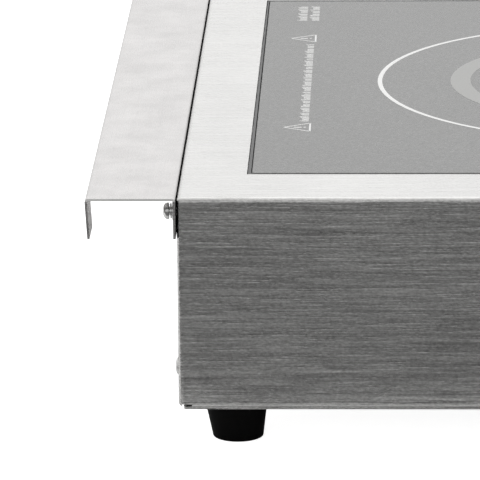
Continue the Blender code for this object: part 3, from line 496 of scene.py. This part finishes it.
def screw_head(name, node, head_radius, head_height, washer):
    """A pan head with a cross recess; with a washer, it stands off on a split ring."""
    low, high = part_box(node)
    middle = (low + high) / 2
    seat = high.y - head_height
    place = Matrix.Translation((middle.x, seat, middle.z)) @ FACING_REAR
    shank, reach = 0.0014, seat - low.y
    arc = [(head_radius * math.sin(a), head_height * (0.28 + 0.72 * math.cos(a)))
           for a in (math.pi / 2 * i / 10 for i in range(11))]
    profile = arc + [(head_radius, head_height * 0.05), (head_radius - 0.0002, 0),
                     (shank, 0), (shank, -reach + 0.0004), (0, -reach)]
    screw = new_piece(name, lathe(profile, 40), "bright_steel", place)
    recess = place @ Matrix.Translation((0, 0, head_height)) @ Matrix.Rotation(0.5, 4, "Z")
    cut(screw, cross_cutter(head_radius * 1.15, head_radius * 0.26, head_height * 0.62), recess)
    stands_for(screw, node)
    if washer:
        outer = (high.z - low.z) / 2
        flat = [(WASHER_HOLE, 0), (outer - 0.0001, 0), (outer, 0.0001), (outer, 0.0004),
                (outer - 0.0001, 0.0005), (WASHER_HOLE, 0.0005), (WASHER_HOLE, 0)]
        base = Matrix.Translation((middle.x, CHANNEL_LOW.y + WASHER_SEAT, middle.z)) @ FACING_REAR
        plain = new_piece(f"{name}_washer", lathe(flat, 40), "bright_steel", base)
        print_on(plain, "housing")
        print_on(split_washer(f"{name}_lock_washer", base @ Matrix.Translation((0, 0, 0.00055))),
                 "housing")


def split_washer(name, place):
    """A square-section ring with a gap, its ends twisted apart."""
    bm = bmesh.new()
    inner, outer, height, steps, gap, twist = WASHER_HOLE, 0.0025, 0.0005, 30, 0.25, 0.0002
    rings = []
    for i in range(steps + 1):
        angle = gap / 2 + (2 * math.pi - gap) * i / steps
        lift = twist * i / steps
        rings.append([bm.verts.new((r * math.cos(angle), r * math.sin(angle), z + lift))
                      for r, z in ((inner, 0), (outer, 0), (outer, height), (inner, height))])
    for before, after in zip(rings, rings[1:]):
        for k in range(4):
            bm.faces.new((before[k], before[(k + 1) % 4], after[(k + 1) % 4], after[k]))
    bm.faces.new(rings[0])
    bm.faces.new(rings[-1][::-1])
    return new_piece(name, bm, "bright_steel", place, 30)


def make_screws():
    for side in ("left", "right"):
        screw_head(f"channel_screw_{side}_pan", f"channel_screw_{side}", 0.00275, 0.0022, True)
        screw_head(f"rear_screw_{side}_low", f"rear_screw_{side}", 0.00285, 0.00115, False)


FOOT_LEAN, FOOT_PIVOT = 0.05, 0.3      # screwed down out of square, about a share of the height


def make_feet():
    for corner in ("front_left", "front_right", "rear_left", "rear_right"):
        node = f"foot_{corner}"
        low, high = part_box(node)
        middle, top_radius, height = (low + high) / 2, (high.x - low.x) / 2, high.z
        bottom_radius, edge = top_radius - 0.0021, 0.0005
        hole, recess, recess_depth = 0.0024, 0.0050, 0.0080
        profile = [(hole, height), (top_radius - 0.0003, height), (top_radius, height - 0.0003),
                   (top_radius - 0.0001, height - 0.0012)]
        for i in range(9):
            a = math.pi / 2 * i / 8
            profile.append((bottom_radius - edge * (1 - math.cos(a)), edge * (1 - math.sin(a))))
        profile += [(recess + 0.0004, 0), (recess, 0.0004), (recess, recess_depth),
                    (hole, recess_depth), (hole, height)]
        bm = lathe(profile, 72)
        for vert in bm.verts:
            vert.co.y += FOOT_LEAN * (vert.co.z - height * FOOT_PIVOT)
        foot = new_piece(f"{node}_rubber", bm, "rubber",
                         Matrix.Translation((middle.x, middle.y, 0)), 50)
        stands_for(foot, node)
        make_foot_screw(f"foot_screw_{corner}")


def make_foot_screw(node):
    """A pan head screw, head down in the foot's recess."""
    low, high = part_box(node)
    middle, length = (low + high) / 2, high.z - low.z
    head, depth, shank = 0.0039, 0.0024, 0.0020
    arc = [(head * math.sin(a), depth - depth * (0.2 + 0.8 * math.cos(a)))
           for a in (math.pi / 2 * i / 8 for i in range(9))]
    profile = arc + [(head, depth), (shank, depth), (shank, length - 0.0005), (0, length)]
    place = Matrix.Translation((middle.x, middle.y, low.z))
    screw = new_piece(f"{node}_pan", lathe(profile, 36), "bright_steel", place)
    recess = place @ Matrix.Translation((0, 0, 0.0004)) @ Matrix.Rotation(math.pi, 4, "X")
    cut(screw, cross_cutter(0.0042, 0.0010, 0.0015), recess)
    stands_for(screw, node)


# ---------------------------------------------------------------- glass and its print
PRINT = 0.00004        # thickness of the print
RING_CENTRE = Vector((0, GLASS_MIDDLE.y + 0.00035, TOP_Z))


def settle_glass(bm):
    """The plate lies a trace askew, so the rear joint closes towards the right."""
    askew, plate_reach, rear_part = 0.0005, GLASS_HIGH.x + 0.0005, 0.12
    for vert in bm.verts:
        behind = vert.co.y - GLASS_MIDDLE.y
        if behind > rear_part and max(abs(vert.co.x), abs(behind)) < plate_reach:
            across = (vert.co.x - GLASS_LOW.x) / (GLASS_HIGH.x - GLASS_LOW.x)
            vert.co.y += askew * across


def printed_ring(name, inner, outer, finish):
    """A flat printed ring round the middle of the glass."""
    profile = [(inner, 0), (inner, PRINT), (outer, PRINT), (outer, 0), (inner, 0)]
    piece = new_piece(name, lathe(profile, 160), finish, Matrix.Translation(RING_CENTRE))
    print_on(piece, "housing")


def make_glass():
    refined("glass_plate", "glass_ceramic", settle=settle_glass)
    refined("glass_seal", "silicone", settle=settle_glass)
    printed_ring("cooking_ring", 0.0881, 0.0897, "white_print")
    printed_ring("inner_ring", 0.0568, 0.0639, "grey_print")


def on_glass(from_left, from_rear, turn=0.0):
    """A frame on the glass, at distances from its left and rear edges."""
    return (Matrix.Translation((GLASS_LOW.x + from_left, GLASS_HIGH.y - from_rear, TOP_Z))
            @ Matrix.Rotation(turn, 4, "Z"))


def triangle_sign(name, place, height=0.0090, base=0.0115, stroke=0.0006):
    """An outlined triangle pointing along local +X, with a bar and a dot in it."""
    bm = bmesh.new()
    corners = [(0, 0), (-height, -base / 2), (-height, base / 2)]
    for a, b in zip(corners, corners[1:] + corners[:1]):
        bar_bm(bm, a, b, stroke, PRINT)
    bar_bm(bm, (-height * 0.38, 0), (-height * 0.68, 0), stroke * 1.6, PRINT)
    bar_bm(bm, (-height * 0.76, 0), (-height * 0.84, 0), stroke * 1.6, PRINT)
    print_on(new_piece(name, bm, "white_print", place), "housing")


def bar_row(name, place, length, height, lines=1, line_gap=0.0045):
    """Short upright bars in groups of uneven length, standing in for printed lines."""
    bm = bmesh.new()
    groups, pitch, stroke = (6, 3, 5, 4, 3, 7, 2, 5), 0.00125, 0.0007
    for line in range(lines):
        x, group = 0.0, line * 2
        while x < length:
            for i in range(groups[group % len(groups)]):
                if x >= length:
                    break
                tall = height * (1.0, 0.72, 0.72, 0.9, 0.72)[(group + i * 2) % 5]
                low = -line * line_gap - height / 2
                bar_bm(bm, (x, low), (x, low + tall), stroke, PRINT)
                if (i + group) % 3 < 2:
                    level = low + tall * (0.5 if i % 2 else 0.9)
                    bar_bm(bm, (x, level), (x + pitch * 0.7, level), stroke * 0.8, PRINT)
                x += pitch
            x += pitch * 0.8
            group += 1
    print_on(new_piece(name, bm, "white_print", place), "housing")


def make_glass_print():
    quarter = math.pi / 2
    triangle_sign("sign_left", on_glass(0.0627, 0.0091, quarter))
    triangle_sign("sign_right", on_glass(0.1987, 0.0089, quarter))
    bar_row("print_row", on_glass(0.0715, 0.0159), 0.1180, 0.0032)
    bar_row("print_block", on_glass(0.2288, 0.0124), 0.0240, 0.0036, 2)


# ---------------------------------------------------------------- controls
def make_knob():
    """A fluted dial with a pointer line, standing for the plain turned one."""
    base, height, radius = 0.0012, 0.0150, 0.018
    top = height + base
    profile = [(0, top - 0.0004), (0.0100, top - 0.0003), (0.0135, top), (0.0146, top - 0.0002),
               (0.0155, top - 0.0009), (0.0159, top - 0.0020),
               (0.0165, base + 0.0046), (0.0168, base + 0.0036), (0.0178, base + 0.0030),
               (radius, base + 0.0024), (radius, base + 0.0002), (radius - 0.0002, base),
               (0.0033, base), (0.0033, 0.0123), (0, 0.0123)]
    bm = lathe(profile, 144)
    flutes, depth = 36, 0.0005
    for vert in bm.verts:
        reach = math.hypot(vert.co.x, vert.co.y)
        if 0.0150 < reach < 0.0170 and vert.co.z > base + 0.0040:
            angle = math.atan2(vert.co.y, vert.co.x)
            shrink = 1 - depth / reach * (0.5 + 0.5 * math.cos(flutes * angle))
            vert.co.x *= shrink
            vert.co.y *= shrink
    place = on_slope(Vector(DIAL["pos_m"]))
    knob = new_piece("control_knob_fluted", bm, "black_plastic", place, 30)
    stands_for(knob, "control_knob")
    line = bmesh.new()
    bar_bm(line, (0, 0.0050), (0, 0.0136), 0.0012, 0.0001, top - 0.0002)
    print_on(new_piece("knob_pointer", line, "white_print", place), "power_dial")


MARK_LEVEL = 0.00072      # from the dial's base point out to the print, just over the overlay


def make_dial_scale():
    """Ticks and power steps 1 to 9 round the dial."""
    face = on_slope(Vector(DIAL["pos_m"]))
    ticks = bmesh.new()
    steps, sweep = 9, math.radians(270)
    for i in range(steps):
        angle = math.pi / 2 + sweep / 2 - sweep * i / (steps - 1)
        along = Vector((math.cos(angle), math.sin(angle)))
        bar_bm(ticks, along * 0.0200, along * 0.0222, 0.0006, PRINT, MARK_LEVEL)
        number = bpy.data.curves.new(f"dial_number_{i + 1}", "FONT")
        number.body, number.size = str(i + 1), 0.0046
        number.align_x, number.align_y = "CENTER", "CENTER"
        number.extrude = PRINT
        flat = bpy.data.objects.new(f"dial_number_{i + 1}", number)
        bpy.context.scene.collection.objects.link(flat)
        flat.matrix_world = face @ Matrix.Translation((*(along * 0.0252), MARK_LEVEL))
        number.materials.append(MATERIALS["white_print"])
        print_on(flat, "housing")
    print_on(new_piece("dial_ticks", ticks, "white_print", face), "housing")


def seven_segments(bm, x, digit_width, digit_height, stroke, height):
    """One digit's seven bars, leaning slightly."""
    half, tall = digit_width / 2, digit_height / 2
    bars = [((-half, tall), (half, tall)), ((half, 0), (half, tall)),
            ((half, -tall), (half, 0)), ((-half, -tall), (half, -tall)),
            ((-half, -tall), (-half, 0)), ((-half, 0), (-half, tall)),
            ((-half, 0), (half, 0))]
    lean, trim = 0.12, 0.12
    for bar in bars:
        start, end = (Vector(p) for p in bar)
        along = (end - start) * trim
        start, end = start + along, end - along
        points = [(x + p.x + p.y * lean, p.y) for p in (start, end)]
        bar_bm(bm, *points, stroke, PRINT, height)


def make_display():
    """Four unlit digits, just proud of the smoked window."""
    face = on_slope(box_middle("display_window"))
    digits, pitch, level = 4, 0.0130, 0.00042      # level: from the window's middle
    bm = bmesh.new()
    for i in range(digits):
        seven_segments(bm, pitch * (i - (digits - 1) / 2), 0.0064, 0.0120, 0.0011, level)
    print_on(new_piece("display_digits", bm, "segment_off", face), "housing")


def make_buttons():
    for node in ("power_button", "mode_button", "timer_button"):
        refined(node, "bright_steel")


def make_panel():
    refined("control_overlay", "overlay_film")
    refined("display_window", "smoked_window", 0.0001)


def button_marks():
    """A plain mark above each button: a power symbol, three bars and a clock face."""
    mark_up = 0.0165       # from the button's middle, up the slope
    for node, draw in (("power_button", power_mark), ("mode_button", bars_mark),
                       ("timer_button", clock_mark)):
        joint = next(j for j in frame["joints"] if j["child"] == BODY_OF[node])
        normal = -Vector(joint["axis"]).normalized()
        middle = box_middle(node)
        foot = middle - normal * (middle - Vector(DIAL["pos_m"])).dot(normal)
        face = on_slope(foot) @ Matrix.Translation((0, mark_up, 0))
        bm = bmesh.new()
        draw(bm)
        print_on(new_piece(f"{node}_mark", bm, "white_print", face), "housing")


def arc_bars(bm, radius, start, end, width, steps=24):
    """A printed arc of short bars."""
    points = [(radius * math.cos(a), radius * math.sin(a))
              for a in (start + (end - start) * i / steps for i in range(steps + 1))]
    for a, b in zip(points, points[1:]):
        bar_bm(bm, a, b, width, PRINT, MARK_LEVEL)


def power_mark(bm):
    arc_bars(bm, 0.0026, math.radians(130), math.radians(410), 0.0006)
    bar_bm(bm, (0, 0.0012), (0, 0.0034), 0.0006, PRINT, MARK_LEVEL)


def bars_mark(bm):
    for i in range(3):
        x = 0.0024 * (i - 1)
        bar_bm(bm, (x, -0.0024), (x, -0.0006 + 0.0014 * i), 0.0012, PRINT, MARK_LEVEL)


def clock_mark(bm):
    arc_bars(bm, 0.0028, 0, 2 * math.pi, 0.0005, 30)
    bar_bm(bm, (0, 0), (0, 0.0019), 0.0005, PRINT, MARK_LEVEL)
    bar_bm(bm, (0, 0), (0.0013, 0), 0.0005, PRINT, MARK_LEVEL)


# ---------------------------------------------------------------- what lies inside
def make_inner_pieces():
    """These nodes keep their CAD shape, shaded round, with the finish of their slot."""
    for node in ("coil_carrier", "filter_choke", "temperature_sensor", "induction_coil",
                 "mica_sheet", "fan_left_rotor", "fan_right_rotor", "coil_post_1",
                 "coil_post_2", "coil_post_3", "mains_lead", "encoder_shaft", "cable_gland",
                 "gland_nut", "fan_left_frame", "fan_right_frame"):
        refined(node, SLOT_OF[node])


def finish_remaining_nodes():
    """A CAD node that isn't replaced gets the finish of its slot."""
    for node, piece in frame["nodes"].items():
        piece.data.materials.clear()
        piece.data.materials.append(MATERIALS[SLOT_OF[node]])


# ---------------------------------------------------------------- stage
SKY = ((-1.0, 0.38), (-0.64, 0.42), (-0.45, 0.62), (0.09, 0.62), (0.42, 0.80), (0.71, 1.05),
       (0.82, 1.10), (1.0, 1.65))      # brightness by closeness to the soft box
SKY_MIDDLE = math.radians(50)
SKY_PEAK = 2.0
FLOOR_NEAR, FLOOR_FAR = 0.95, 0.185            # the floor's brightness in reflections
FLOOR_FADE = 0.005, 0.050                      # where it fades, out from the hob's left side


def make_world():
    """A soft studio: bright over the far side, dimmer towards the camera's side."""
    world = bpy.data.worlds.new("studio")
    bpy.context.scene.world = world
    world.use_nodes = True
    tree = world.node_tree
    background = tree.nodes["Background"]
    where = tree.nodes.new("ShaderNodeTexCoord")
    closeness = tree.nodes.new("ShaderNodeVectorMath")
    closeness.operation = "DOT_PRODUCT"
    closeness.inputs[1].default_value = (math.cos(SKY_MIDDLE), 0, math.sin(SKY_MIDDLE))
    tree.links.new(where.outputs["Generated"], closeness.inputs[0])
    position = tree.nodes.new("ShaderNodeMapRange")
    position.inputs["From Min"].default_value = -1.0
    tree.links.new(closeness.outputs["Value"], position.inputs["Value"])
    ramp = tree.nodes.new("ShaderNodeValToRGB")
    for i, (close, value) in enumerate(SKY):
        place, level = (close + 1) / 2, value / SKY_PEAK
        elements = ramp.color_ramp.elements
        element = elements[0 if i == 0 else -1] if i in (0, len(SKY) - 1) else elements.new(place)
        element.position = place
        element.color = (level, level, level, 1)
    tree.links.new(position.outputs["Result"], ramp.inputs["Fac"])
    seen = tree.nodes.new("ShaderNodeLightPath")
    choose = tree.nodes.new("ShaderNodeMix")
    choose.data_type = "RGBA"
    tree.links.new(seen.outputs["Is Camera Ray"], choose.inputs["Factor"])
    tree.links.new(ramp.outputs["Color"], choose.inputs["A"])
    choose.inputs["B"].default_value = (1, 1, 1, 1)
    tree.links.new(choose.outputs["Result"], background.inputs["Color"])
    background.inputs["Strength"].default_value = SKY_PEAK


def make_floor():
    """A large pale floor, lit evenly white, whose reflections darken away from the hob."""
    bm = bmesh.new()
    bmesh.ops.create_grid(bm, x_segments=1, y_segments=1, size=8.0)
    mesh = bpy.data.meshes.new("floor")
    bm.to_mesh(mesh)
    bm.free()
    floor = bpy.data.objects.new("floor", mesh)
    bpy.context.scene.collection.objects.link(floor)
    pale = 0.90
    shader = Shader("floor", (pale, pale, pale), 0.9, Specular_IOR_Level=0.0,
                    Emission_Color=(1, 1, 1, 1))
    where = shader.node("ShaderNodeTexCoord")
    split = shader.node("ShaderNodeSeparateXYZ")
    shader.link(where.outputs["Object"], split.inputs["Vector"])
    out_left = shader.math("SUBTRACT", CAD_BOX[0][0], split.outputs["X"])
    reflected = shader.remap(out_left, FLOOR_NEAR, FLOOR_FAR, *FLOOR_FADE)
    path = shader.node("ShaderNodeLightPath")
    choose = shader.node("ShaderNodeMix", data_type="FLOAT")
    shader.link(path.outputs["Is Glossy Ray"], choose.inputs["Factor"])
    choose.inputs["A"].default_value = pale
    shader.link(reflected, choose.inputs["B"])
    grey = shader.node("ShaderNodeCombineColor")
    for channel in ("Red", "Green", "Blue"):
        shader.link(choose.outputs["Result"], grey.inputs[channel])
    shader.link(grey.outputs["Color"], shader.principled.inputs["Base Color"])
    shader.link(shader.math("MULTIPLY", path.outputs["Is Camera Ray"], pale),
                shader.principled.inputs["Emission Strength"])
    mesh.materials.append(shader.material)


def make_lights():
    """One large soft lamp, high over the front left."""
    light = bpy.data.lights.new("soft_key", "AREA")
    light.shape, light.size, light.energy = "DISK", 1.0, 3.0
    key = bpy.data.objects.new("soft_key", light)
    bpy.context.scene.collection.objects.link(key)
    key.location = (-0.5, -1.0, 1.7)
    aim = Vector((0, 0, 0)) - key.location
    key.rotation_euler = aim.to_track_quat("-Z", "Y").to_euler()


# ---------------------------------------------------------------- camera
def make_camera():
    """A long lens on the rear left corner, level across and looking 15 degrees down."""
    tilt, sensor, lens = math.radians(15.18), 36.0, 377.5
    corner = Vector((LEFT_X, REAR_Y, TOP_Z))
    away, along, above = 1.57448, 0.07204, 0.41313
    down_the_line = Vector((math.cos(tilt), 0, -math.sin(tilt)))
    picture_right = Vector((0, -1, 0))
    swing = -0.03155          # the frame's middle lies left of the line of sight
    forward = (down_the_line + picture_right * swing).normalized()
    up = picture_right.cross(down_the_line)
    right = forward.cross(up).normalized()
    up = right.cross(forward)
    data = bpy.data.cameras.new("camera")
    data.sensor_width, data.lens = sensor, lens
    data.clip_start, data.clip_end = 0.05, 60.0
    camera = bpy.data.objects.new("camera", data)
    bpy.context.scene.collection.objects.link(camera)
    turn = Matrix((right, up, -forward)).transposed().to_4x4()
    camera.matrix_world = Matrix.Translation(corner + Vector((-away, -along, above))) @ turn
    bpy.context.scene.camera = camera


scene = bpy.context.scene
scene.view_settings.view_transform = "Standard"
scene.view_settings.look = "None"

make_camera()
make_world()
make_lights()
make_floor()
make_housing()
make_screws()
make_feet()
make_glass()
make_glass_print()
make_knob()
make_dial_scale()
make_panel()
make_display()
make_buttons()
button_marks()
make_inner_pieces()
finish_remaining_nodes()
